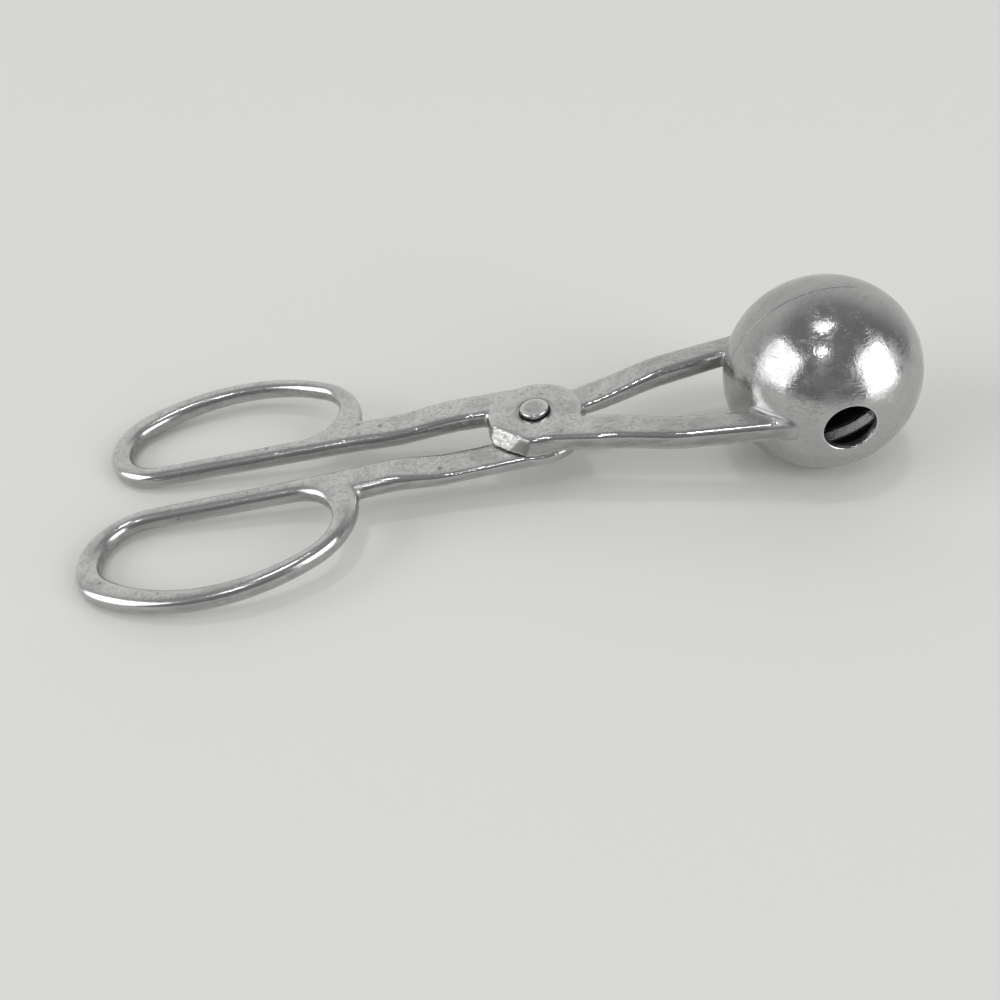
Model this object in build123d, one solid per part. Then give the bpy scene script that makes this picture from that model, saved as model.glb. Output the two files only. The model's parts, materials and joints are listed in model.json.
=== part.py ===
from build123d import *
import os
from collections import namedtuple
from math import asin, atan2, cos, degrees, hypot, radians, sin, sqrt, tan

# A scissor scoop: two cast levers crossed on one rivet, each with a finger loop at one end
# and half of a hollow ball at the other. The lower lever is lapped thinner where they cross.
# Millimetres and degrees.
# The levers are drawn flat and closed, with the rivet's axis up at the origin and +X towards the
# ball. The whole tool is then laid down on its ball and its loops, as it lies on a table.

# Cups: the two halves of the ball
ball_radius = 22.0
cup_wall = 2.0
ball_reach = 66.0          # from the rivet's axis to the middle of the closed ball
vent_radius = 5.6          # hole at the pole of each cup
rim_gap = 0.3              # between the two rims when the ball is closed
rim_bevel = 0.8            # inner corner of each rim

# Thickness of the casting, and the roundness of its edges
loop_thickness = 4.5
arm_thickness = 4.8
upper_boss_thickness = 4.5
lower_boss_thickness = 3.1
boss_gap = 0.4             # between the two bosses, face to face
boss_gap_drop = 0.25       # of the middle of that gap below the middle of the ball
loop_edge_radius = 1.8
arm_edge_radius = 1.2
upper_heel_edge_radius = 0.9
lower_heel_edge_radius = 0.3
boss_edge_radius = 0.8
arm_tip_edge_radius = 1.8  # where the arm dies away on its cup

# Boss round the rivet, drafted towards its outer face, with the flat where the casting gate was ground off
upper_boss_radius = 11.7         # at the inner face
upper_boss_outer_radius = 10.8   # at the outer face
lower_boss_radius = 11.2
lower_boss_outer_radius = 11.1
heel_inset = 0.4           # of the shank's and the arm's outer sides inside the boss, beside the rivet
gate_flat_distance = 10.65
gate_flat_azimuth = 226.0
gate_flat_lean = 19.0

# Shank, from the boss back to the finger loop; the reaches are measured from the rivet's axis
shank_root_reach = 44.0
shank_root_overlap = 3.0   # of the shank and the loop, each run on into the other
shank_root_width = 8.8
shank_heel_width = 8.6     # where its ramp starts
shank_offset = 5.4         # of its middle line from the long axis, beside the rivet
shank_heel_offset = 2.0    # of its inner edge from the long axis, beside the rivet
shank_splay = 4.6
upper_shank_ramp_start = 16.0
upper_shank_ramp_end = 37.0
lower_shank_ramp_start = 21.0
lower_shank_ramp_end = 36.0

# Arm, from the boss forward to the cup
arm_heel_width = 8.8       # where its ramp starts
arm_middle_width = 7.6     # where its ramp ends
arm_cup_width = 6.4
arm_offset = 7.15
arm_heel_offset = 3.0
arm_splay = 9.2
upper_arm_ramp_start = 13.0
upper_arm_ramp_end = 33.0
lower_arm_ramp_start = 12.5
lower_arm_ramp_end = 32.0

# Finger loop: a tip arc, an arch on the outside and a root arc by the shank
loop_tip_reach = 92.6
loop_tip_offset = 20.2
loop_tip_radius = 14.8
loop_root_reach = 61.0
loop_root_offset = 16.4
loop_root_radius = 18.6
loop_arch_radius = 47.0

# Hole of the loop: the loop's own three arcs, drawn in by the width of the bar and moved
tip_bar_width = 5.3
tip_hole_advance = 0.3     # towards the rivet
tip_hole_drop = 0.8        # towards the long axis
root_bar_width = 8.6
root_hole_advance = 2.7
root_hole_rise = 3.5       # away from the long axis
arch_radius_step = 7.0

# Rivet
rivet_radius = 2.4
rivet_running_gap = 0.05   # round the rivet in each lever
rivet_head_radius = 3.3
rivet_head_height = 1.8
rivet_head_edge_radius = 0.3
rivet_tail_edge_radius = 0.9
head_recess_radius = 4.8
head_recess_floor_radius = 3.8
head_recess_depth = 0.9
head_seat_gap = 0.1        # under the head and under the tail

cut_overrun = 5.0          # how far a cutter passes beyond what it cuts

cup_inner_radius = ball_radius - cup_wall
rivet_hole_radius = rivet_radius + rivet_running_gap

# How each lever passes the rivet: the levels of its inner and outer faces, seen from its own side,
# the edges there, the boss, and the ramps that lead back to the middle of the ball and the loop
Heel = namedtuple(
    "Heel", "inner outer edge boss_radius boss_outer_radius shank_start shank_end arm_start arm_end"
)
upper_inner = boss_gap / 2 - boss_gap_drop
lower_inner = boss_gap / 2 + boss_gap_drop
upper_heel = Heel(
    upper_inner, upper_inner + upper_boss_thickness, upper_heel_edge_radius,
    upper_boss_radius, upper_boss_outer_radius,
    upper_shank_ramp_start, upper_shank_ramp_end, upper_arm_ramp_start, upper_arm_ramp_end,
)
lower_heel = Heel(
    lower_inner, lower_inner + lower_boss_thickness, lower_heel_edge_radius,
    lower_boss_radius, lower_boss_outer_radius,
    lower_shank_ramp_start, lower_shank_ramp_end, lower_arm_ramp_start, lower_arm_ramp_end,
)


def on_circle(centre, radius, angle):
    return centre + Vector(cos(radians(angle)), sin(radians(angle))) * radius


def angle_of(vector):
    return degrees(atan2(vector.Y, vector.X))


def arch_centre(first, first_gap, second, second_gap):
    """The middle of an arch that stands first_gap and second_gap from two arc middles."""
    span = second - first
    along = (span.length**2 + first_gap**2 - second_gap**2) / (2 * span.length)
    across = sqrt(first_gap**2 - along**2)
    direction = span.normalized()
    return first + direction * along + Vector(direction.Y, -direction.X) * across


def arc_between(centre, radius, start, end):
    """An arc turning anticlockwise from one angle to another."""
    return CenterArc(centre, radius, start, (end - start) % 360)


def loop_arcs(tip, tip_radius, root, root_radius, arch_radius, root_start):
    """The root arc, the arch and the tip arc of a loop, from root_start to the foot of the tip."""
    arch = arch_centre(tip, arch_radius - tip_radius, root, arch_radius - root_radius)
    root_end = angle_of(root - arch)
    tip_start = angle_of(tip - arch)
    return [
        arc_between(root, root_radius, root_start, root_end),
        arc_between(arch, arch_radius, root_end, tip_start),
        arc_between(tip, tip_radius, tip_start, 270),
    ]


def shank_middle(reach):
    return shank_offset + reach * tan(radians(shank_splay))


def arm_middle(reach):
    return -arm_offset - reach * tan(radians(arm_splay))


def loop_face():
    tip = Vector(-loop_tip_reach, loop_tip_offset)
    root = Vector(-loop_root_reach, loop_root_offset)
    shank_y = shank_middle(shank_root_reach)
    root_start = degrees(asin((shank_y - loop_root_offset) / loop_root_radius))
    foot = on_circle(tip, loop_tip_radius, 270)
    shank_side = Vector(-shank_root_reach, shank_y - shank_root_width / 2)
    inner_end = shank_side + (shank_side - foot).normalized() * shank_root_overlap
    edges = loop_arcs(tip, loop_tip_radius, root, loop_root_radius, loop_arch_radius, root_start)
    edges.append(Line(foot, inner_end))
    edges.append(Line(inner_end, on_circle(root, loop_root_radius, root_start)))
    return make_face(edges)


def hole_face():
    tip = Vector(tip_hole_advance - loop_tip_reach, loop_tip_offset - tip_hole_drop)
    tip_radius = loop_tip_radius - tip_bar_width
    root = Vector(root_hole_advance - loop_root_reach, loop_root_offset + root_hole_rise)
    root_radius = loop_root_radius - root_bar_width
    arch_radius = loop_arch_radius - arch_radius_step
    edges = loop_arcs(tip, tip_radius, root, root_radius, arch_radius, 270)
    edges.append(Line(on_circle(tip, tip_radius, 270), on_circle(root, root_radius, 270)))
    return make_face(edges)


def finger_loop():
    plate = extrude(loop_face() - hole_face(), loop_thickness / 2, both=True)
    flats = plate.faces().filter_by(Axis.Z)
    return fillet(flats.edges(), loop_edge_radius)


def bar(stations):
    """A flat bar through stations of x, the y of its sides, its two levels and its edge radius."""
    sections = []
    for x, near, far, low, high, edge in stations:
        plane = Plane(origin=(x, (near + far) / 2, (low + high) / 2), x_dir=(0, 1, 0), z_dir=(1, 0, 0))
        sections.append(plane * RectangleRounded(far - near, high - low, edge))
    return loft(sections, ruled=True)


def shank(heel):
    start = shank_middle(heel.shank_start)
    end = shank_middle(heel.shank_end)
    root_reach = shank_root_reach + shank_root_overlap
    root = shank_middle(root_reach)
    half_start = shank_heel_width / 2
    half_root = shank_root_width / 2
    at_boss = (heel.inner, heel.outer, heel.edge)
    at_loop = (-loop_thickness / 2, loop_thickness / 2, loop_edge_radius)
    return bar([
        (0, shank_heel_offset, heel.boss_outer_radius - heel_inset, *at_boss),
        (-heel.shank_start, start - half_start, start + half_start, *at_boss),
        (-heel.shank_end, end - half_root, end + half_root, *at_loop),
        (-root_reach, root - half_root, root + half_root, *at_loop),
    ])


def arm(heel):
    start = arm_middle(heel.arm_start)
    end = arm_middle(heel.arm_end)
    tip = arm_middle(ball_reach)
    half_start = arm_heel_width / 2
    half_end = arm_middle_width / 2
    half_tip = arm_cup_width / 2
    at_boss = (heel.inner, heel.outer, heel.edge)
    at_cup = (-arm_thickness / 2, arm_thickness / 2)
    return bar([
        (0, heel_inset - heel.boss_outer_radius, -arm_heel_offset, *at_boss),
        (heel.arm_start, start - half_start, start + half_start, *at_boss),
        (heel.arm_end, end - half_end, end + half_end, *at_cup, arm_edge_radius),
        (ball_reach, tip - half_tip, tip + half_tip, *at_cup, arm_tip_edge_radius),
    ])


def boss(heel):
    disc = Pos(0, 0, heel.inner) * Cone(
        heel.boss_radius, heel.boss_outer_radius, heel.outer - heel.inner,
        align=(Align.CENTER, Align.CENTER, Align.MIN),
    )
    return fillet(disc.edges().group_by(Axis.Z)[-1], boss_edge_radius)


def gate_cut(heel):
    """Everything beyond the flat on the boss's edge, leaning back towards the top."""
    side = heel.boss_radius
    middle = (heel.inner + heel.outer) / 2
    block = Pos(side + gate_flat_distance, 0, middle) * Rot(0, -gate_flat_lean, 0) * Box(
        2 * side, 2 * side, 2 * side
    )
    return Rot(0, 0, gate_flat_azimuth) * block


def cup_blank():
    half = Pos(0, -rim_gap / 2 - ball_radius, 0) * Box(2 * ball_radius, 2 * ball_radius, 2 * ball_radius)
    return Pos(ball_reach, 0, 0) * (Sphere(ball_radius) & half)


def cup_cut():
    """The hollow of the ball, the bevel inside the rim and the vent at the pole."""
    rim_depth = rim_gap / 2 + rim_bevel
    bevel = Rot(90, 0, 0) * Cone(
        cup_inner_radius + rim_bevel + rim_depth, cup_inner_radius - rim_bevel, rim_depth + rim_bevel,
        align=(Align.CENTER, Align.CENTER, Align.MIN),
    )
    vent = Rot(90, 0, 0) * Cylinder(
        vent_radius, ball_radius + cut_overrun, align=(Align.CENTER, Align.CENTER, Align.MIN)
    )
    return Pos(ball_reach, 0, 0) * (Sphere(cup_inner_radius) + bevel + vent)


def rivet_cut(heel):
    """The rivet's hole and the recess round its head."""
    hole = Cylinder(rivet_hole_radius, 2 * (heel.outer + cut_overrun))
    recess = Pos(0, 0, heel.outer - head_recess_depth) * Cone(
        head_recess_floor_radius, head_recess_radius, head_recess_depth,
        align=(Align.CENTER, Align.CENTER, Align.MIN),
    )
    return hole + recess


def lever(heel):
    """One lever, closed and seen from its own side, its loop behind the long axis and its cup before."""
    body = finger_loop() + shank(heel) + boss(heel) + arm(heel) + cup_blank()
    return body - gate_cut(heel) - cup_cut() - rivet_cut(heel)


def rivet_head(heel, edge_radius):
    """A head in the recess of one lever, with as much of the stem as passes that lever."""
    base = heel.outer - head_recess_depth + head_seat_gap
    along_axis = (Align.CENTER, Align.CENTER, Align.MIN)
    head = Pos(0, 0, base) * Cylinder(rivet_head_radius, rivet_head_height, align=along_axis)
    head = fillet(head.edges().group_by(Axis.Z)[-1], edge_radius)
    return head + Cylinder(rivet_radius, base + rivet_head_height / 2, align=along_axis)


def rivet():
    """A flat head on top and a peened tail below, on one stem."""
    tail = rivet_head(lower_heel, rivet_tail_edge_radius)
    return rivet_head(upper_heel, rivet_head_edge_radius) + Rot(180, 0, 0) * tail


def lying():
    """Where the tool lies on z = 0, on its ball and the tips of its loops, centred on its box."""
    edge = loop_edge_radius
    tip = -loop_tip_reach - loop_tip_radius + edge
    drop = loop_thickness / 2 - edge
    span = ball_reach - tip
    pitch = asin((ball_radius - edge) / hypot(span, drop)) - atan2(drop, span)
    height = ball_radius - ball_reach * sin(pitch)
    front = ball_reach * cos(pitch) + ball_radius
    back = tip * cos(pitch) - drop * sin(pitch) - edge
    return Location((-(front + back) / 2, 0, height), (0, -degrees(pitch), 0))


upper = lever(upper_heel)
lower = Rot(180, 0, 0) * lever(lower_heel)
place = lying()

os.makedirs("parts", exist_ok=True)
export_step(place * upper, "parts/upper_lever.step")
export_step(place * lower, "parts/lower_lever.step")
export_step(place * rivet(), "parts/pivot_rivet.step")
print("rivet axis through", place.position, "turned", place.orientation)
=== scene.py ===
import json
import math
from collections import namedtuple

import bmesh
import bpy
import numpy as np
from mathutils import Matrix, Vector, noise
from mathutils.bvhtree import BVHTree


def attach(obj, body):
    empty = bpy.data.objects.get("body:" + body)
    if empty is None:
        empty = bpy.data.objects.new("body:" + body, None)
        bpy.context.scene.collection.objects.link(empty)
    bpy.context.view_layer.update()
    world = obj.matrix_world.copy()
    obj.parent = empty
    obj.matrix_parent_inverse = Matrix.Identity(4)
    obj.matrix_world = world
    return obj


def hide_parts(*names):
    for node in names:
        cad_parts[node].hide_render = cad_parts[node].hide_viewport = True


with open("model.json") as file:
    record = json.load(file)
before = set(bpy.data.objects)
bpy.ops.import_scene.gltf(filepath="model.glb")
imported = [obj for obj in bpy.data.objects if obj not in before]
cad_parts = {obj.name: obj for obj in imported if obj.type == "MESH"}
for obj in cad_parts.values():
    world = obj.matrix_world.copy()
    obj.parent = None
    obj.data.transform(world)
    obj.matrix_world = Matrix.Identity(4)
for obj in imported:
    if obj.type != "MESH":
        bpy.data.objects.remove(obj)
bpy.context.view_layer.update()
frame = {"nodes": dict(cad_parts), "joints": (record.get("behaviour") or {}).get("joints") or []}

# A scissor scoop of bare cast aluminium: two levers crossed on a rivet, closed, on a pale floor.
# The castings are shaped in millimetres on a lever's own axes: Z along the rivet, X from the
# rivet to the ball, Y towards the lever's finger loop. They are then put in the frame's metres.
# A fade is the range of a value over which something comes in or goes out.
MM = 0.001

# Sizes that the finished shapes share with the solids
BALL_REACH = 66.0
BALL_RADIUS = 22.0
CUP_INNER_RADIUS = 20.0
VENT_RADIUS = 5.6
RIVET_RADIUS = 2.4
RIVET_HOLE_RADIUS = 2.45
RIVET_HEAD_RADIUS = 3.3
RIVET_HEAD_HEIGHT = 1.8
RIVET_HEAD_EDGE = 0.3
RIVET_TAIL_EDGE = 0.9
RECESS_DEPTH = 0.9
RECESS_RADIUS = 4.8
SEAT_GAP = 0.1
GATE_AZIMUTH = 226.0
GATE_LEAN = 19.0

# How each lever passes the rivet: its inner and outer faces, and the ramps of its shank and its arm
Heel = namedtuple("Heel", "inner outer shank_start shank_end arm_start arm_end")
UPPER_HEEL = Heel(-0.05, 4.45, 16.0, 37.0, 13.0, 33.0)
LOWER_HEEL = Heel(0.45, 3.55, 21.0, 36.0, 12.5, 32.0)

# The skin of a casting, and the rounds of relaxing that soften it
VOXEL = 0.36
WELD = 0.002
BALL_SUBDIVISIONS = 6
PLUG_MARGIN = 0.5          # of the plug that fills the rivet's hole, past the recess
PLUG_SIDES = 96
EDGE_ROUNDS = 12
FILLET_ROUNDS = 37
BLEND_ROUNDS = 2
BEND_ROUNDS = 8            # over which the bend of the skin is measured
SHARP_ANGLE = 50.0

# Where the ball keeps its own roundness
BALL_SKIN = 0.3            # what stands less proud than this is ball
BALL_SURROUND = 3.0
BALL_BLEND_FADE = (0.03, 0.5)

# Waves of the ground and tumbled skin, each a height and a length
RIPPLE_WAVES = ((0.022, 7.0), (0.006, 2.3))
RIPPLE_SINK = 0.02         # of the whole skin
RIPPLE_EDGE_CUT_SHARE = 0.8
RIPPLE_EDGE_FADE = (0.006, 0.036)
BALL_RIPPLE_SHARE = 0.3

# The flat where the casting gate was ground off, and the torn patch on it
GATE_LEVEL = 10.13         # of the flat, along the way it faces
GATE_DEEP = 0.40           # how far under that level the flat starts
GATE_SHALLOW = 0.12        # and where it is flat in full
GATE_FACING_FADE = (0.5, 0.8)
GATE_SURROUND = 13.0       # round the rivet
GATE_TOP = 4.3             # where the torn patch is widest
GATE_REACH = 3.4           # of its one side there, from the flat's middle
GATE_TAPER = 0.85          # how fast that side draws in downwards
GATE_BLUR = 0.4            # of that side
FRACTURE_WAVES = ((0.22, 1.1), (0.16, 0.6))
FRACTURE_SINK = 0.12

# Rims and vent of the cups
SEAM_GAP = 0.03            # from the middle plane to each rim, at its outer lip
LIP = 0.08                 # rounding of the rims
LIP_STEPS = 5
RIM_BEVEL = 1.6            # of the rims' inner corners
RIM_BEVEL_SHARES = (0, 0.08, 0.92, 1)
VENT_LIP = 0.35            # rounding of the vent's mouth
VENT_LIP_STEPS = 12
HOLLOW_LEAD = 2.0          # degrees from the bevel's foot to the hollow's first point
HOLLOW_STEPS = 40
CUP_SIDES = 160
CUTTER_REACH_SHARE = 1.5   # of the ball's radius

# Recess round the rivet's head, with its dished edge
RECESS_FLOOR_RADIUS = 3.6
RECESS_CORNER = 0.1
RECESS_DRAFT = 0.05
RECESS_SIDES = 96
DISH_DEPTH = 0.22
DISH_START = 0.2           # past the recess's wall
DISH_BROW = 0.15           # width of its rounded outer edge
DISH_BROW_DEPTH = 0.05
DISH_RUNOUT = 0.2
DISH_OVERRUN = 0.02

# Finish of the rivet
RIVET_CROWN = ((1.9, 0.01), (0.9, 0.03), (0, 0.035))   # radius and rise of the head's low crown
RIVET_EDGE_TURN = 80.0
RIVET_EDGE_STEPS = 8
RIVET_SIDES = 128
RIVET_STEM_MARGIN = 0.1
RIVET_DENT_SHARE = 0.008
RIVET_DENT_LENGTH = 1.7
# Over which the painted shade on the rivet comes in, below the head's edge
RIVET_SHADE_FADE = (-0.1, 0.5)    # down from the head's edge
RIVET_RUB_FADE = (0.4, 0.5)      # away from the head's rim

# Where the finishes of a casting lie, and where shade is painted on it
POLISH_FADE = (0.2, 1.6)         # past the ball's radius
INNER_FADE = (-0.6, -0.3)        # past the ball's radius
HOLLOW_SKIN = 0.2                # past the cup's inner radius
HOLLOW_FADE = (0.1, 0.5)         # in from the rim's bevel
RIM_INNER_MARGIN = 0.1
RIM_OUTER_MARGIN = 0.15
RIM_FOOT_MARGIN = 0.05
SEAM_WIDTH_SHARE = 1.5           # of the lip
SEAM_DEPTH = 0.2
SEAM_SURROUND = 0.5
SEAM_DIRT_SHARE = 0.45
MOUTH_MARGIN = 0.1
MOUTH_RUB_SHARE = 0.25
# The recess round the rivet's head carries painted shade, and the dished ring round it is made darker
SUNK_FADE = (0.05, 0.3)          # past the recess's floor
DISH_FADE = (-0.3, 0.0)          # past the recess's radius
DISH_DARKENING_SHARE = 0.5
# Sides carry a painted shade over their duller as-cast skin
SIDE_FADE = (0.25, 0.8)          # how far a face looks up or down
EDGE_FADE = (0.012, 0.058)       # of the skin's bend
# Inner corners carry painted shade
CORNER_FADE = (0.005, 0.06)      # of the skin's bend
# The neck where arm meets ball carries the painted shade of the inner corners
NECK_NEAR_FADE = (0.03, 0.4)     # past the ball's radius
NECK_FAR_FADE = (2.0, 4.0)       # past the ball's radius
NECK_SIDE_FADE = (0.8, 0.95)     # how far a face looks up or down
NECK_SHARE = 0.8
# Over which the painted shade on the arms comes in
ARM_FADE = (10.0, 30.0)          # from the rivet

# Sizes of the patterns in the metal
TARNISH_SIZE = 7.0
PIT_SPACING = 2.8
SPECK_SIZE = 0.9
STAIN_SIZE = 2.4
DIRT_AND_SHADE_SIZE = 3.0
STREAK_SIZE = 1.2
MOTTLE_SIZE = 0.9
TORN_SIZE = 0.7
RIVET_TARNISH_SIZE = 3.0
RIVET_PIT_SPACING = 2.0
RIVET_SPECK_SIZE = 0.7
GRAIN_STREAK_SIZE = 0.5
GRAIN_TOOTH_SIZE = 0.4
SCUFF_PATCH_SIZE = 8.0
SCUFF_WAYS = ((0.2, 4.0, 0.20), (-0.5, 2.6, 0.18), (0.95, 3.0, 0.22))   # turn in radians, length, width
BUMP_DEPTH = 0.04
RIVET_BUMP_DEPTH = 0.1

# Scales that draw the grinding streaks out along the lever
SIDE_STREAK_STRETCH = (0.08, 1.0, 1.0)
GRAIN_STRETCH = (0.12, 1.0, 1.0)

# Shades of the metal as each finish leaves it, with painted shade on the arms, sides, inner corners, gate
# flat, hollow and recess
CLEAN_METAL = (0.77, 0.77, 0.76, 1)
DULLED_METAL = (0.62, 0.62, 0.61, 1)
ARM_PAINTED_SHADE = (0.44, 0.44, 0.435, 1)
BALL_SHADE = (0.44, 0.44, 0.44, 1)
SIDE_SKIN_AND_SHADE_DARK = (0.25, 0.25, 0.245, 1)
SIDE_SKIN_AND_SHADE_LIGHT = (0.42, 0.42, 0.41, 1)
SPECK_SHADE = (0.34, 0.34, 0.335, 1)
STAIN_SHADE = (0.36, 0.36, 0.35, 1)
EDGE_SHADE = (0.60, 0.60, 0.60, 1)
TORN_SHADE = (0.80, 0.80, 0.79, 1)
CORNER_PAINTED_SHADE = (0.32, 0.32, 0.31, 1)
GATE_FLAT_PAINTED_SHADE = (0.15, 0.15, 0.148, 1)
PIT_SHADE = (0.22, 0.22, 0.215, 1)
SCUFF_SHADE = (0.36, 0.36, 0.355, 1)
HOLLOW_PAINTED_SHADE = (0.045, 0.045, 0.042, 1)
RIM_SHADE = (0.90, 0.90, 0.89, 1)
DIRT_AND_PAINTED_SHADE = (0.09, 0.09, 0.088, 1)
RIVET_CLEAN = (0.68, 0.68, 0.68, 1)
RIVET_DULLED = (0.56, 0.56, 0.555, 1)
RIVET_SPECK_SHADE = (0.36, 0.36, 0.355, 1)
RIVET_EDGE_SHADE = (0.78, 0.78, 0.78, 1)
RIVET_PIT_SHADE = (0.25, 0.25, 0.245, 1)
RIVET_PAINTED_SHADE = (0.10, 0.10, 0.098, 1)

# Floor, with its radius in metres, and room light
FLOOR_RADIUS = 3.0
FLOOR_SIDES = 96
FLOOR_SHADE = (0.72, 0.72, 0.705, 1)
ROOM_NEAR = (0.22, 0.22, 0.225, 1)
ROOM_FAR = (0.68, 0.68, 0.67, 1)
ROOM_CEILING = (0.26, 0.26, 0.265, 1)

# Soft light panels, metres from the ball, with their places and sizes in degrees as the ball sees them
PANEL_DISTANCE = 6.0
Panel = namedtuple("Panel", "name shape azimuth elevation width height radiance")
PANELS = (
    Panel("left_window", "RECTANGLE", -168, 24, 42, 40, 2.8),
    Panel("right_window", "RECTANGLE", -36, 21, 40, 44, 3.2),
    Panel("ceiling_lamp", "ELLIPSE", -164, 84, 6, 6, 22.0),
    Panel("near_lamp", "ELLIPSE", -116, 57, 5, 5, 20.0),
)
OVERHEAD_FILL = Panel("overhead_fill", "RECTANGLE", 90, 80, 80, 80, 0.35)

# Camera, in millimetres and degrees
CAMERA_PLACE = (-4.266, -192.487, 163.733)
CAMERA_HEADING = 88.901    # from +X towards +Y
CAMERA_DIP = 41.675        # below the horizon
CAMERA_ROLL = -4.824
CAMERA_LENS = 37.543
CAMERA_SENSOR = 36.0
CAMERA_CLIP = 10.0


def lever_axes(turned_over):
    """From the lever's own millimetres to the frame's metres. The lower lever is shaped turned over."""
    hinge = frame["joints"][0]
    up = -Vector(hinge["axis"])
    side = Vector((0, 1, 0))
    axes = Matrix((side.cross(up), side, up)).transposed().to_4x4()
    axes.translation = Vector(hinge["pos_m"])
    if turned_over:
        axes = axes @ Matrix.Rotation(math.pi, 4, "X")
    return axes @ Matrix.Scale(MM, 4)


def object_of(name, data):
    made = bpy.data.objects.new(name, data)
    bpy.context.scene.collection.objects.link(made)
    return made


def mesh_of(name, shape):
    """The mesh of a shape that is then let go."""
    mesh = bpy.data.meshes.new(name)
    shape.to_mesh(mesh)
    shape.free()
    return mesh


def settled(piece):
    """The piece's mesh with its modifiers worked in."""
    bpy.context.view_layer.update()
    depsgraph = bpy.context.evaluated_depsgraph_get()
    mesh = bpy.data.meshes.new_from_object(piece.evaluated_get(depsgraph))
    bpy.data.objects.remove(piece)
    return mesh


def points_of(mesh):
    flat = np.empty(len(mesh.vertices) * 3, np.float32)
    mesh.vertices.foreach_get("co", flat)
    return flat.reshape(-1, 3).astype(float)


def set_points(mesh, points):
    mesh.vertices.foreach_set("co", points.astype(np.float32).ravel())
    mesh.update()


def normals_of(mesh):
    flat = np.empty(len(mesh.vertices) * 3, np.float32)
    mesh.vertex_normals.foreach_get("vector", flat)
    return flat.reshape(-1, 3).astype(float)


def edges_of(mesh):
    flat = np.empty(len(mesh.edges) * 2, np.int32)
    mesh.edges.foreach_get("vertices", flat)
    return flat.reshape(-1, 2)


def relaxed(points, edges, rounds, share=0.5):
    """The points after some rounds of moving each towards the middle of its neighbours."""
    total = len(points)
    count = np.bincount(edges.ravel(), minlength=total)[:, None]
    first, second = edges.T
    for _ in range(rounds):
        around = np.empty_like(points)
        for axis in range(3):
            values = points[:, axis]
            ahead = np.bincount(first, values[second], total)
            around[:, axis] = ahead + np.bincount(second, values[first], total)
        points = points + share * (around / count - points)
    return points


def bend_of(points, edges, outwards, rounds):
    """How far relaxing lifts each point: above zero in the inner corners, below zero on the edges."""
    return np.einsum("ij,ij->i", relaxed(points, edges, rounds) - points, outwards)


def smoothstep(low, high, values):
    t = np.clip((values - low) / (high - low), 0, 1)
    return t * t * (3 - 2 * t)


def waves_at(point, seed, waves):
    """How far waves of noise stand off the surface at a point."""
    place = Vector(point) + Vector((seed, 0, 0))
    return sum(height * noise.noise(place / length) for height, length in waves)


def lever_blank(name, axes, heel):
    """The lever's solid with its ball and its rivet hole filled in, as one even skin."""
    shape = bmesh.new()
    shape.from_mesh(frame["nodes"][name].data)
    bmesh.ops.transform(shape, matrix=axes.inverted(), verts=shape.verts)
    bmesh.ops.remove_doubles(shape, verts=shape.verts, dist=WELD)
    ball = Matrix.Translation((BALL_REACH, 0, 0))
    bmesh.ops.create_icosphere(shape, subdivisions=BALL_SUBDIVISIONS, radius=BALL_RADIUS, matrix=ball)
    plug = Matrix.Translation((0, 0, (heel.inner + heel.outer) / 2))
    plug_radius = RECESS_RADIUS + PLUG_MARGIN
    bmesh.ops.create_cone(
        shape, cap_ends=True, segments=PLUG_SIDES, radius1=plug_radius, radius2=plug_radius,
        depth=heel.outer - heel.inner, matrix=plug,
    )
    surface = BVHTree.FromBMesh(shape)
    blank = object_of(name + "_blank", mesh_of(name + "_blank", shape))
    skin = blank.modifiers.new("skin", "REMESH")
    skin.mode = "VOXEL"
    skin.voxel_size = VOXEL
    mesh = settled(blank)
    set_points(mesh, np.array([surface.find_nearest(point)[0] for point in points_of(mesh)]))
    return mesh


def eased(points, heel):
    """The points with the straight ramps of the shank and the arm drawn out into easy bends."""
    fall = -(heel.inner + heel.outer) / 2
    for reach, start, end in ((-points[:, 0], heel.shank_start, heel.shank_end),
                              (points[:, 0], heel.arm_start, heel.arm_end)):
        straight = np.clip((reach - start) / (end - start), 0, 1)
        points[:, 2] += fall * (smoothstep(start, end, reach) - straight)
    return points


def cast(mesh, heel, seed):
    """Rounds the edges, fills the inner corners as a casting does, and leaves the ball round."""
    edges = edges_of(mesh)
    points = relaxed(eased(points_of(mesh), heel), edges, EDGE_ROUNDS)
    set_points(mesh, points)
    outwards = normals_of(mesh)
    lift = bend_of(points, edges, outwards, FILLET_ROUNDS)
    points = points + outwards * np.maximum(lift, 0)[:, None]
    points = relaxed(points, edges, BLEND_ROUNDS)

    middle = np.array([BALL_REACH, 0, 0])
    spoke = points - middle
    reach = np.linalg.norm(spoke, axis=1)
    proud = reach - BALL_RADIUS
    held = proud * smoothstep(*BALL_BLEND_FADE, proud)
    near = reach < BALL_RADIUS + BALL_SURROUND
    points[near] = middle + spoke[near] * ((BALL_RADIUS + held[near]) / reach[near])[:, None]
    set_points(mesh, points)

    outwards = normals_of(mesh)
    bend = bend_of(points, edges, outwards, BEND_ROUNDS)
    ripple = np.array([waves_at(point, seed, RIPPLE_WAVES) for point in points])
    ripple = ripple * (1 - RIPPLE_EDGE_CUT_SHARE * smoothstep(*RIPPLE_EDGE_FADE, -bend))
    on_ball = near & (proud < BALL_SKIN)
    stand_off = np.where(on_ball, BALL_RIPPLE_SHARE * ripple, ripple) - RIPPLE_SINK
    torn, _ = gate_shares(points, outwards)
    broken = np.flatnonzero(torn > 0)
    fracture = np.array([waves_at(points[i], seed, FRACTURE_WAVES) - FRACTURE_SINK for i in broken])
    stand_off[broken] += torn[broken] * fracture
    set_points(mesh, points + outwards * stand_off[:, None])


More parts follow.
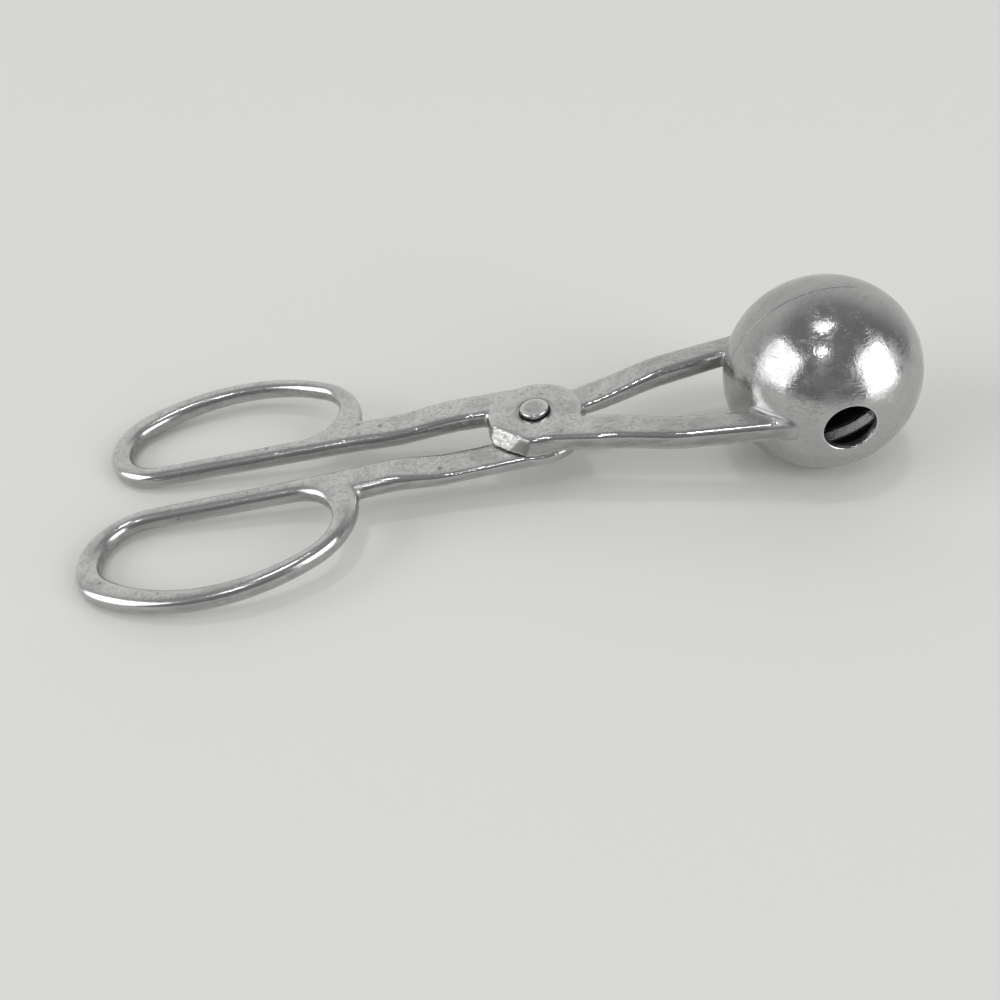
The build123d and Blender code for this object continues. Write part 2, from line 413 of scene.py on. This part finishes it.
def gate_shares(points, outwards):
    """How far each point belongs to the torn patch of the casting gate, and to the rest of its flat."""
    azimuth = math.radians(GATE_AZIMUTH)
    lean = math.radians(GATE_LEAN)
    across = np.array([
        math.cos(azimuth) * math.cos(lean), math.sin(azimuth) * math.cos(lean), math.sin(lean),
    ])
    near_boss = np.hypot(points[:, 0], points[:, 1]) < GATE_SURROUND
    reached = smoothstep(GATE_LEVEL - GATE_DEEP, GATE_LEVEL - GATE_SHALLOW, points @ across)
    along = points[:, 1] * math.cos(azimuth) - points[:, 0] * math.sin(azimuth)
    past_side = along + GATE_TAPER * (GATE_TOP - points[:, 2]) - GATE_REACH
    within = 1 - smoothstep(-GATE_BLUR, GATE_BLUR, past_side)
    flat = reached * smoothstep(*GATE_FACING_FADE, outwards @ across) * near_boss
    return flat * within, flat * (1 - within)


def turned(name, profile, sides, placed):
    """A closed body of revolution about Z. Its profile of radius and height starts and ends on the axis."""
    shape = bmesh.new()
    rings = []
    for radius, height in profile:
        if radius == 0:
            rings.append([shape.verts.new((0, 0, height))])
            continue
        ring = []
        for step in range(sides):
            angle = 2 * math.pi * step / sides
            ring.append(shape.verts.new((radius * math.cos(angle), radius * math.sin(angle), height)))
        rings.append(ring)
    for low, high in zip(rings, rings[1:]):
        for step in range(sides):
            after = (step + 1) % sides
            corners = [
                low[step % len(low)], low[after % len(low)],
                high[after % len(high)], high[step % len(high)],
            ]
            shape.faces.new(list(dict.fromkeys(corners)))
    bmesh.ops.recalc_face_normals(shape, faces=shape.faces)
    bmesh.ops.transform(shape, matrix=placed, verts=shape.verts)
    return mesh_of(name, shape)


def arc(middle, radius, start, end, steps):
    """Points of radius and height on an arc, in degrees."""
    angles = [math.radians(start + (end - start) * step / steps) for step in range(steps + 1)]
    return [(middle[0] + radius * math.cos(a), middle[1] + radius * math.sin(a)) for a in angles]


def cup_cutter():
    """Everything that isn't cup: the ball's other half, the hollow and the vent. Height is towards -Y."""
    beyond = CUTTER_REACH_SHARE * BALL_RADIUS
    bevel_foot = SEAM_GAP + RIM_BEVEL
    hollow_start = math.degrees(math.asin(bevel_foot / CUP_INNER_RADIUS)) + HOLLOW_LEAD
    hollow_end = math.degrees(math.acos(VENT_RADIUS / CUP_INNER_RADIUS))
    mouth = VENT_RADIUS + VENT_LIP
    mouth_level = math.sqrt((BALL_RADIUS - VENT_LIP)**2 - mouth**2)
    mouth_end = math.degrees(math.atan2(mouth_level, mouth))
    profile = [(0, -beyond), (beyond, -beyond), (beyond, SEAM_GAP + LIP)]
    profile += [(BALL_RADIUS + LIP, SEAM_GAP + 2 * LIP)]
    profile += arc((BALL_RADIUS - LIP, SEAM_GAP + LIP), LIP, 0, -90, LIP_STEPS)
    for share in RIM_BEVEL_SHARES:
        profile.append((CUP_INNER_RADIUS + RIM_BEVEL * (1 - share), SEAM_GAP + RIM_BEVEL * share))
    profile += arc((0, 0), CUP_INNER_RADIUS, hollow_start, hollow_end, HOLLOW_STEPS)
    profile += arc((mouth, mouth_level), VENT_LIP, 180, mouth_end, VENT_LIP_STEPS)
    profile += [(profile[-1][0], beyond), (0, beyond)]
    placed = Matrix.Translation((BALL_REACH, 0, 0)) @ Matrix.Rotation(math.pi / 2, 4, "X")
    return turned("cup_cutter", profile, CUP_SIDES, placed)


def rivet_cutter(heel):
    """The rivet's hole, and the recess round its head with its dished edge."""
    wall = RECESS_FLOOR_RADIUS
    floor_level = heel.outer - RECESS_DEPTH
    dish_level = heel.outer - DISH_DEPTH
    runout = RECESS_RADIUS + DISH_RUNOUT
    beyond = 2 * heel.outer
    profile = [(0, -heel.outer), (RIVET_HOLE_RADIUS, -heel.outer), (RIVET_HOLE_RADIUS, floor_level)]
    profile += [(wall - RECESS_CORNER, floor_level), (wall, floor_level + RECESS_CORNER)]
    profile += [(wall + RECESS_DRAFT, dish_level - RECESS_CORNER), (wall + DISH_START, dish_level)]
    profile += [(RECESS_RADIUS - DISH_BROW, heel.outer - DISH_BROW_DEPTH)]
    profile += [(runout, heel.outer + DISH_OVERRUN), (runout, beyond), (0, beyond)]
    return turned("rivet_cutter", profile, RECESS_SIDES, Matrix.Identity(4))


def carved(mesh, *cutters):
    """The mesh with each cutter taken out of it."""
    piece = object_of("carving", mesh)
    tools = [object_of(cutter.name, cutter) for cutter in cutters]
    for tool in tools:
        cut = piece.modifiers.new(tool.name, "BOOLEAN")
        cut.operation = "DIFFERENCE"
        cut.solver = "MANIFOLD"
        cut.object = tool
    mesh = settled(piece)
    for tool in tools:
        bpy.data.objects.remove(tool)
    return mesh


def mark(mesh, name, values):
    mesh.attributes.new(name, "FLOAT", "POINT").data.foreach_set("value", values.astype(np.float32))


def mark_finishes_and_shade(mesh):
    """Says where each finish lies and where shade is painted: polish, hollow (painted shade), torn gate, the
    rest of its flat (painted shade), rims, dirt in the seam, painted shade in the rivet's recess, sides
    (partly painted shade), edges, inner corners and the neck (painted shade), and the arms (painted shade).
    """
    points = points_of(mesh)
    outwards = normals_of(mesh)
    bend = bend_of(points, edges_of(mesh), outwards, BEND_ROUNDS)
    spoke = points - np.array([BALL_REACH, 0, 0])
    reach = np.linalg.norm(spoke, axis=1)
    proud = reach - BALL_RADIUS
    inwards = -points[:, 1]
    bore = np.hypot(points[:, 0], points[:, 1])
    level = np.abs(outwards[:, 2])
    rim = SEAM_GAP + RIM_BEVEL

    ball = 1 - smoothstep(*POLISH_FADE, proud)
    inside = 1 - smoothstep(*INNER_FADE, proud)
    hollow = (reach < CUP_INNER_RADIUS + HOLLOW_SKIN) * smoothstep(*HOLLOW_FADE, inwards - rim)
    gate, ground = gate_shares(points, outwards)
    lips = (reach > CUP_INNER_RADIUS - RIM_INNER_MARGIN) * (proud < -RIM_OUTER_MARGIN)
    lips = lips * (inwards < rim + RIM_FOOT_MARGIN)
    mouth = np.hypot(spoke[:, 0], spoke[:, 2]) < VENT_RADIUS + VENT_LIP
    mouth = mouth * (reach > CUP_INNER_RADIUS + MOUTH_MARGIN)
    seam = (proud > -SEAM_DEPTH) * (proud < SEAM_SURROUND) * (inwards < SEAM_GAP + SEAM_WIDTH_SHARE * LIP)
    sunk = 1 - smoothstep(*SUNK_FADE, bore - RECESS_FLOOR_RADIUS)
    dished = 1 - smoothstep(*DISH_FADE, bore - RECESS_RADIUS)
    neck = smoothstep(*NECK_NEAR_FADE, proud) * (1 - smoothstep(*NECK_FAR_FADE, proud))
    neck = neck * (1 - smoothstep(*NECK_SIDE_FADE, level))
    finish_and_shade_marks = {
        "ball": ball,
        # the hollow inside the cup takes a painted shade, near black
        "cup": hollow,
        "gate": gate,
        # painted shade on the rest of the gate's flat
        "ground": ground,
        "lips": np.maximum(lips, MOUTH_RUB_SHARE * mouth),
        # dirt in the seam, painted shade in the rivet's recess, and a darker dished ring round it
        "dirt_and_shade": np.maximum.reduce([SEAM_DIRT_SHARE * seam, sunk, DISH_DARKENING_SHARE * dished]),
        # sides darker: partly the duller as-cast skin, partly painted shade
        "side": (1 - smoothstep(*SIDE_FADE, level)) * (1 - ball) * (1 - gate),
        "edge": smoothstep(*EDGE_FADE, -bend) * (1 - inside) * (1 - gate),
        # painted shade in the inner corners, at the neck of the ball and over the gate's flat
        "corner": np.maximum.reduce([smoothstep(*CORNER_FADE, bend), NECK_SHARE * neck, ground]),
        # painted shade on the arms, darker towards the ball
        "arm": smoothstep(*ARM_FADE, points[:, 0]) * (1 - ball),
    }
    for name, values in finish_and_shade_marks.items():
        mark(mesh, name, values)

    # Where the scuffs run: round the ball, and along the rest of the lever
    turn = np.arctan2(spoke[:, 0], -spoke[:, 1])
    climb = np.arcsin(np.clip(spoke[:, 2] / reach, -1, 1))
    round_ball = np.stack([turn, climb, 0 * turn], axis=1) * BALL_RADIUS
    skin = np.where((ball > 0.5)[:, None], round_ball, points) * MM
    along = mesh.attributes.new("skin", "FLOAT_VECTOR", "POINT")
    along.data.foreach_set("vector", skin.astype(np.float32).ravel())


def lever(name, heel, turned_over, seed):
    axes = lever_axes(turned_over)
    mesh = lever_blank(name, axes, heel)
    cast(mesh, heel, seed)
    mesh = carved(mesh, cup_cutter(), rivet_cutter(heel))
    mark_finishes_and_shade(mesh)
    mesh.transform(axes)
    finished(name + "_casting", mesh, name, "cast_aluminium", name)


def finished(name, mesh, node, slot, body):
    """Makes the mesh a piece that takes a solid's place and moves with its body."""
    mesh.polygons.foreach_set("use_smooth", np.ones(len(mesh.polygons), bool))
    mesh.set_sharp_from_angle(angle=math.radians(SHARP_ANGLE))
    mesh.name = name
    piece = object_of(name, mesh)
    mesh.materials.clear()
    mesh.materials.append(materials[slot])
    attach(piece, body)
    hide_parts(node)


def rivet():
    """A flat head with a worn edge on top, a peened tail below."""
    head_low = UPPER_HEEL.outer - RECESS_DEPTH + SEAT_GAP
    tail_low = LOWER_HEEL.outer - RECESS_DEPTH + SEAT_GAP
    head_top = head_low + RIVET_HEAD_HEIGHT
    tail_end = tail_low + RIVET_HEAD_HEIGHT
    head_edge = (RIVET_HEAD_RADIUS - RIVET_HEAD_EDGE, head_top - RIVET_HEAD_EDGE)
    tail_edge = (RIVET_HEAD_RADIUS - RIVET_TAIL_EDGE, RIVET_TAIL_EDGE - tail_end)
    profile = [(0, -tail_end)]
    profile += arc(tail_edge, RIVET_TAIL_EDGE, -90, 0, RIVET_EDGE_STEPS)
    profile += [(RIVET_HEAD_RADIUS, -tail_low), (RIVET_RADIUS, -tail_low)]
    profile += [(RIVET_RADIUS, head_low), (RIVET_HEAD_RADIUS, head_low)]
    profile += arc(head_edge, RIVET_HEAD_EDGE, 0, RIVET_EDGE_TURN, RIVET_EDGE_STEPS)
    profile += [(radius, head_top + rise) for radius, rise in RIVET_CROWN]
    mesh = turned("rivet", profile, RIVET_SIDES, Matrix.Identity(4))

    points = points_of(mesh)
    outer = np.hypot(points[:, 0], points[:, 1]) > RIVET_RADIUS + RIVET_STEM_MARGIN
    dent = np.array([noise.noise(Vector(point) / RIVET_DENT_LENGTH) for point in points])
    points[outer, :2] *= (1 - RIVET_DENT_SHARE * (1 + dent[outer]))[:, None]
    set_points(mesh, points)
    below = smoothstep(*RIVET_SHADE_FADE, head_edge[1] - points[:, 2])
    from_rim = np.abs(np.hypot(points[:, 0], points[:, 1]) - RIVET_HEAD_RADIUS)
    # The head's side and all below its edge take a painted shade
    mark(mesh, "dirt_and_shade", below)
    mark(mesh, "edge", (1 - smoothstep(*RIVET_RUB_FADE, from_rim)) * (1 - below))
    mesh.transform(lever_axes(False))
    finished("rivet", mesh, "pivot_rivet", "rivet_aluminium", "rivet")


def node(tree, kind, inputs=None, **settings):
    """A new shader node with its settings, and its inputs set or linked."""
    made = tree.nodes.new(kind)
    for name, value in settings.items():
        setattr(made, name, value)
    for key, value in (inputs or {}).items():
        if isinstance(value, bpy.types.NodeSocket):
            tree.links.new(value, made.inputs[key])
        else:
            made.inputs[key].default_value = value
    return made


def maths(tree, operation, *values, clamp=False):
    inputs = dict(enumerate(values))
    return node(tree, "ShaderNodeMath", inputs, operation=operation, use_clamp=clamp).outputs[0]


def times(tree, first, second):
    return maths(tree, "MULTIPLY", first, second)


def ramp(tree, value, low=0.0, high=1.0, to_low=0.0, to_high=1.0):
    """Takes a value from one range to another, with soft ends."""
    inputs = {"Value": value, "From Min": low, "From Max": high, "To Min": to_low, "To Max": to_high}
    return node(tree, "ShaderNodeMapRange", inputs, interpolation_type="SMOOTHSTEP").outputs["Result"]


def mixed(tree, share, first, second):
    """From one colour to another."""
    return node(tree, "ShaderNodeMix", {0: share, 6: first, 7: second}, data_type="RGBA").outputs[2]


def blended(tree, share, first, second):
    """From one value to another."""
    return node(tree, "ShaderNodeMix", {0: share, 2: first, 3: second}).outputs[0]


def layered(tree, shade, layers):
    """The shade with each layer's colour laid over it, by the layer's mask and share."""
    for mask, share, colour in layers:
        shade = mixed(tree, times(tree, mask, share), shade, colour)
    return shade


def attribute(tree, name, output="Fac"):
    return node(tree, "ShaderNodeAttribute", attribute_name=name, attribute_type="GEOMETRY").outputs[output]


def noise_at(tree, vector, size, detail=2.0, roughness=0.5):
    """Noise whose features are about size millimetres across."""
    inputs = {"Vector": vector, "Scale": 1 / (size * MM), "Detail": detail, "Roughness": roughness}
    return node(tree, "ShaderNodeTexNoise", inputs).outputs["Fac"]


def stretched(tree, vector, scale):
    return node(tree, "ShaderNodeMapping", {"Vector": vector, "Scale": scale}).outputs[0]


def roughen(tree, shader, height, strength, depth):
    """Gives the surface a fine relief."""
    bump = node(tree, "ShaderNodeBump", {"Height": height, "Strength": strength, "Distance": depth * MM})
    tree.links.new(bump.outputs[0], shader.inputs["Normal"])


def new_group(name, values, output):
    """A group that takes a Vector and some values, and puts out one value."""
    group = bpy.data.node_groups.new(name, "ShaderNodeTree")
    group.interface.new_socket("Vector", in_out="INPUT", socket_type="NodeSocketVector")
    for title in values:
        group.interface.new_socket(title, in_out="INPUT", socket_type="NodeSocketFloat")
    group.interface.new_socket(output, in_out="OUTPUT", socket_type="NodeSocketFloat")
    return group, node(group, "NodeGroupInput").outputs, node(group, "NodeGroupOutput").inputs


def scratches_group():
    """Short thin scuffs that run three ways over the surface, gathered in patches."""
    group, given, out = new_group("scratches", ["Amount"], "Mask")
    total = None
    for turn, length, width in SCUFF_WAYS:
        scale = (1 / (length * MM), 1 / (width * MM), 1 / (width * MM))
        inputs = {"Vector": given["Vector"], "Rotation": (0, 0, turn), "Scale": scale}
        swept = node(group, "ShaderNodeMapping", inputs).outputs[0]
        inputs = {"Vector": swept, "Scale": 1.0, "Detail": 0.0}
        line = node(group, "ShaderNodeTexNoise", inputs).outputs["Fac"]
        line = ramp(group, line, low=0.68, high=0.80)
        total = line if total is None else maths(group, "MAXIMUM", total, line)
    patch = ramp(group, noise_at(group, given["Vector"], SCUFF_PATCH_SIZE, detail=1.0), low=0.38, high=0.66)
    mask = times(group, total, patch)
    group.links.new(maths(group, "MULTIPLY", mask, given["Amount"], clamp=True), out["Mask"])
    return group


def pits_group():
    """Small casting pits and dings, a few to the square centimetre."""
    group, given, out = new_group("pits", ["Size", "Share"], "Mask")
    spread = maths(group, "DIVIDE", 1.0, given["Size"])
    cells = node(group, "ShaderNodeTexVoronoi", {"Vector": given["Vector"], "Scale": spread})
    chance = node(group, "ShaderNodeSeparateColor", {"Color": cells.outputs["Color"]})
    there = maths(group, "LESS_THAN", chance.outputs[0], given["Share"])
    width = ramp(group, chance.outputs[1], to_low=0.08, to_high=0.3)
    ratio = maths(group, "DIVIDE", cells.outputs["Distance"], width)
    hole = ramp(group, ratio, low=1.0, high=0.45)
    group.links.new(times(group, hole, there), out["Mask"])
    return group


def tarnish_group():
    """Cloudy dull patches, and finer mottling in them."""
    group, given, out = new_group("tarnish", ["Size"], "Mask")
    scale = maths(group, "DIVIDE", 1.0, given["Size"])
    inputs = {"Vector": given["Vector"], "Scale": scale, "Detail": 5.0, "Roughness": 0.62}
    cloud = node(group, "ShaderNodeTexNoise", inputs).outputs["Fac"]
    group.links.new(ramp(group, cloud, low=0.38, high=0.68), out["Mask"])
    return group


def grain_group():
    """The fine grain of a ground and tumbled casting: short streaks along the lever over an even tooth."""
    group, given, out = new_group("grain", ["Streaks"], "Height")
    swept = stretched(group, given["Vector"], GRAIN_STRETCH)
    streak = noise_at(group, swept, GRAIN_STREAK_SIZE, detail=3.0, roughness=0.6)
    tooth = noise_at(group, given["Vector"], GRAIN_TOOTH_SIZE, detail=3.0, roughness=0.65)
    group.links.new(blended(group, given["Streaks"], tooth, streak), out["Height"])
    return group


def use(tree, group, **inputs):
    return node(tree, "ShaderNodeGroup", inputs, node_tree=group).outputs[0]


def new_metal(name):
    material = bpy.data.materials.new(name)
    material.use_nodes = True
    tree = material.node_tree
    shader = tree.nodes["Principled BSDF"]
    shader.inputs["Metallic"].default_value = 1.0
    where = node(tree, "ShaderNodeTexCoord").outputs["Object"]
    return material, tree, shader, where


def cast_aluminium(groups):
    material, tree, shader, where = new_metal("cast_aluminium")
    skin = attribute(tree, "skin", "Vector")
    ball = attribute(tree, "ball")
    cup = attribute(tree, "cup")
    gate = attribute(tree, "gate")
    edge = attribute(tree, "edge")
    corner = attribute(tree, "corner")
    lips = attribute(tree, "lips")
    dirt_and_shade = attribute(tree, "dirt_and_shade")
    rubbed = maths(tree, "MAXIMUM", ball, edge)
    bare = times(tree, ramp(tree, ball, to_low=1.0, to_high=0.6), ramp(tree, edge, to_low=1.0, to_high=0.2))

    scratch = use(tree, groups["scratches"], Vector=skin, Amount=ramp(tree, edge, to_low=1.0, to_high=0.08))
    pit = use(tree, groups["pits"], Vector=where, Size=PIT_SPACING * MM, Share=0.28)
    pit = times(tree, pit, ramp(tree, rubbed, to_low=1.0, to_high=0.35))
    dull = use(tree, groups["tarnish"], Vector=where, Size=TARNISH_SIZE * MM)
    grain = use(tree, groups["grain"], Vector=skin, Streaks=0.4)
    speck = noise_at(tree, where, SPECK_SIZE, detail=5.0, roughness=0.75)
    speck = ramp(tree, speck, low=0.42, high=0.72)
    stain = noise_at(tree, where, STAIN_SIZE, detail=4.0, roughness=0.65)
    stain = ramp(tree, stain, low=0.54, high=0.70)
    patchy = noise_at(tree, where, DIRT_AND_SHADE_SIZE, detail=3.0, roughness=0.6)
    patchy = ramp(tree, patchy, low=0.35, high=0.62, to_low=0.45, to_high=0.95)
    streak = stretched(tree, skin, SIDE_STREAK_STRETCH)
    streak = noise_at(tree, streak, STREAK_SIZE, detail=3.0, roughness=0.6)
    streak = ramp(tree, streak, low=0.3, high=0.7)

    shade = layered(tree, mixed(tree, dull, CLEAN_METAL, DULLED_METAL), (
        # Painted shade: the arms darker towards the ball
        (attribute(tree, "arm"), 0.4, ARM_PAINTED_SHADE),
        (ball, 0.85, BALL_SHADE),
        # Sides darker: partly the duller as-cast skin, partly painted shade
        (attribute(tree, "side"), 0.9, mixed(tree, streak, SIDE_SKIN_AND_SHADE_DARK, SIDE_SKIN_AND_SHADE_LIGHT)),
        (times(tree, speck, bare), 0.65, SPECK_SHADE),
        (times(tree, stain, bare), 0.45, STAIN_SHADE),
        (edge, 0.5, EDGE_SHADE),
        (gate, 0.9, TORN_SHADE),
        # Painted shade in the inner corners, at the neck of the ball and over the gate's flat
        (corner, 0.4, CORNER_PAINTED_SHADE),
        # Painted shade on the rest of the gate's flat beside the torn patch
        (attribute(tree, "ground"), 0.6, GATE_FLAT_PAINTED_SHADE),
        (pit, 0.55, PIT_SHADE),
        (scratch, 0.3, SCUFF_SHADE),
        # Painted shade: the hollow inside the cup near black
        (cup, 0.97, HOLLOW_PAINTED_SHADE),
        (lips, 1.0, RIM_SHADE),
        # Dirt in the seam, painted shade in the rivet's recess and a darker dished ring, in patches
        (dirt_and_shade, patchy, DIRT_AND_PAINTED_SHADE),
    ))
    tree.links.new(shade, shader.inputs["Base Color"])

    rough = ramp(tree, dull, to_low=0.24, to_high=0.34)
    polished = ramp(tree, dull, to_low=0.15, to_high=0.30)
    polished = maths(tree, "ADD", polished, times(tree, stain, 0.12))
    for mask, roughness in ((ball, polished), (edge, 0.15), (gate, 0.36), (corner, 0.42), (lips, 0.1)):
        rough = blended(tree, mask, rough, roughness)
    for mask, more in ((pit, 0.15), (scratch, 0.15), (cup, 0.3), (dirt_and_shade, 0.2)):
        rough = maths(tree, "ADD", rough, times(tree, mask, more), clamp=True)
    tree.links.new(rough, shader.inputs["Roughness"])

    mottle = noise_at(tree, skin, MOTTLE_SIZE, detail=3.0, roughness=0.6)
    height = blended(tree, ball, grain, mottle)
    height = times(tree, height, ramp(tree, edge, to_low=1.0, to_high=0.06))
    dent = times(tree, pit, ramp(tree, ball, to_low=2.0, to_high=0.5))
    height = maths(tree, "SUBTRACT", height, dent)
    height = maths(tree, "SUBTRACT", height, times(tree, scratch, 0.35))
    torn = noise_at(tree, where, TORN_SIZE, detail=3.0, roughness=0.65)
    height = maths(tree, "ADD", height, times(tree, torn, times(tree, gate, 8.0)))
    roughen(tree, shader, height, strength=1.0, depth=BUMP_DEPTH)
    return material


def rivet_aluminium(groups):
    material, tree, shader, where = new_metal("rivet_aluminium")
    edge = attribute(tree, "edge")
    dull = use(tree, groups["tarnish"], Vector=where, Size=RIVET_TARNISH_SIZE * MM)
    scratch = use(tree, groups["scratches"], Vector=where, Amount=0.8)
    pit = use(tree, groups["pits"], Vector=where, Size=RIVET_PIT_SPACING * MM, Share=0.15)
    grain = use(tree, groups["grain"], Vector=where, Streaks=0.2)
    speck = noise_at(tree, where, RIVET_SPECK_SIZE, detail=4.0, roughness=0.7)
    speck = ramp(tree, speck, low=0.36, high=0.66)

    shade = layered(tree, mixed(tree, dull, RIVET_CLEAN, RIVET_DULLED), (
        (speck, 0.6, RIVET_SPECK_SHADE),
        (edge, 1.0, RIVET_EDGE_SHADE),
        (pit, 0.5, RIVET_PIT_SHADE),
        # Painted shade on the head's side and below its edge
        (attribute(tree, "dirt_and_shade"), 0.9, RIVET_PAINTED_SHADE),
    ))
    tree.links.new(shade, shader.inputs["Base Color"])

    rough = ramp(tree, dull, to_low=0.3, to_high=0.42)
    rough = maths(tree, "ADD", rough, times(tree, scratch, 0.1))
    tree.links.new(blended(tree, edge, rough, 0.15), shader.inputs["Roughness"])
    height = maths(tree, "SUBTRACT", grain, times(tree, scratch, 0.4))
    roughen(tree, shader, height, strength=0.3, depth=RIVET_BUMP_DEPTH)
    return material


def floor():
    shape = bmesh.new()
    bmesh.ops.create_circle(shape, cap_ends=True, segments=FLOOR_SIDES, radius=FLOOR_RADIUS)
    mesh = mesh_of("floor", shape)
    material = bpy.data.materials.new("pale_floor")
    material.use_nodes = True
    shader = material.node_tree.nodes["Principled BSDF"]
    shader.inputs["Base Color"].default_value = FLOOR_SHADE
    shader.inputs["Roughness"].default_value = 0.9
    shader.inputs["Specular IOR Level"].default_value = 0.1
    mesh.materials.append(material)
    object_of("floor", mesh)


def panel(given):
    """A soft light panel that faces the ball. Azimuth is from +X towards +Y."""
    azimuth = math.radians(given.azimuth)
    elevation = math.radians(given.elevation)
    across = math.cos(elevation)
    towards = Vector((math.cos(azimuth) * across, math.sin(azimuth) * across, math.sin(elevation)))
    lamp = bpy.data.lights.new(given.name, "AREA")
    lamp.shape = given.shape
    lamp.size = 2 * PANEL_DISTANCE * math.tan(math.radians(given.width / 2))
    lamp.size_y = 2 * PANEL_DISTANCE * math.tan(math.radians(given.height / 2))
    lamp.energy = given.radiance * math.pi * lamp.size * lamp.size_y
    made = object_of(given.name, lamp)
    made.location = lever_axes(False) @ Vector((BALL_REACH, 0, 0)) + towards * PANEL_DISTANCE
    made.rotation_euler = towards.to_track_quat("Z", "Y").to_euler()
    return made


def room():
    """Soft grey room light: a darker ceiling, and lighter behind the tool than on the camera's side."""
    world = bpy.data.worlds.new("room")
    world.use_nodes = True
    tree = world.node_tree
    around = node(tree, "ShaderNodeTexCoord").outputs["Generated"]
    facing = node(tree, "ShaderNodeSeparateXYZ", {0: around}).outputs
    sides = mixed(tree, ramp(tree, facing["Y"], low=0.0, high=0.75), ROOM_NEAR, ROOM_FAR)
    light = mixed(tree, ramp(tree, facing["Z"], low=0.60, high=0.95), sides, ROOM_CEILING)
    tree.links.new(light, tree.nodes["Background"].inputs["Color"])
    bpy.context.scene.world = world


def camera():
    """A camera that looks along its heading, dips below the horizon and rolls about its own sight."""
    lens = bpy.data.cameras.new("camera")
    lens.sensor_width = CAMERA_SENSOR
    lens.lens = CAMERA_LENS
    lens.clip_start = CAMERA_CLIP * MM
    made = object_of("camera", lens)
    place = Matrix.Translation(Vector(CAMERA_PLACE) * MM)
    heading = Matrix.Rotation(math.radians(CAMERA_HEADING - 90), 4, "Z")
    dip = Matrix.Rotation(math.radians(90 - CAMERA_DIP), 4, "X")
    roll = Matrix.Rotation(math.radians(CAMERA_ROLL), 4, "Z")
    made.matrix_world = place @ heading @ dip @ roll
    bpy.context.scene.camera = made


shared = {
    "scratches": scratches_group(),
    "pits": pits_group(),
    "tarnish": tarnish_group(),
    "grain": grain_group(),
}
materials = {"cast_aluminium": cast_aluminium(shared), "rivet_aluminium": rivet_aluminium(shared)}

camera()
floor()
room()
for each in PANELS:
    panel(each)
fill = panel(OVERHEAD_FILL)
fill.visible_glossy = False

lever("upper_lever", UPPER_HEEL, turned_over=False, seed=0)
lever("lower_lever", LOWER_HEEL, turned_over=True, seed=40)
rivet()

bpy.context.scene.view_settings.view_transform = "Standard"
